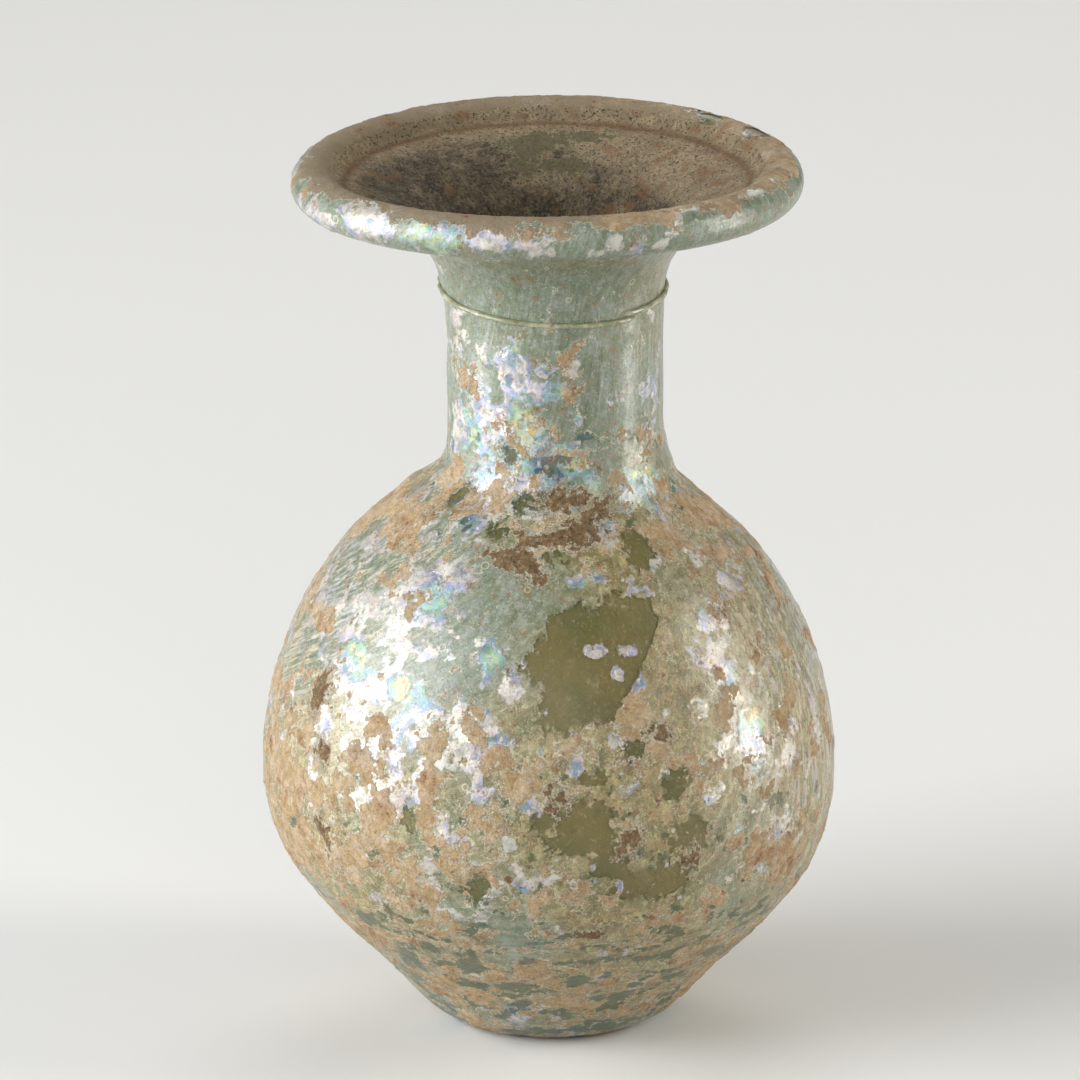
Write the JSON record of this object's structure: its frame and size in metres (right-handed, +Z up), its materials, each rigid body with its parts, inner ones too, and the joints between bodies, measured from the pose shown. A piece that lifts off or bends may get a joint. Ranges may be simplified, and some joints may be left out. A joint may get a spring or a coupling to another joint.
{
  "type": "glass perfume flask",
  "caption": "Free-blown glass perfume flask: hollow round body on a small base, short neck with a fine trailed thread, and a wide funnel mouth edged with a thick rolled rim.",
  "frame": {"origin": "on the surface the flask stands on, under the middle of its body", "axes": "+Z up the flask towards its mouth, -Y towards the side it is seen from, +X to its right"},
  "size_m": [0.0774, 0.0774, 0.12],
  "materials": {
    "weathered_glass": "pale green blown glass under a flaking iridescent weathering skin and tan burial soil, dull to satin with pearly patches"
  },
  "bodies": {
    "root": {"flask": "weathered_glass"}
  },
  "joints": []
}
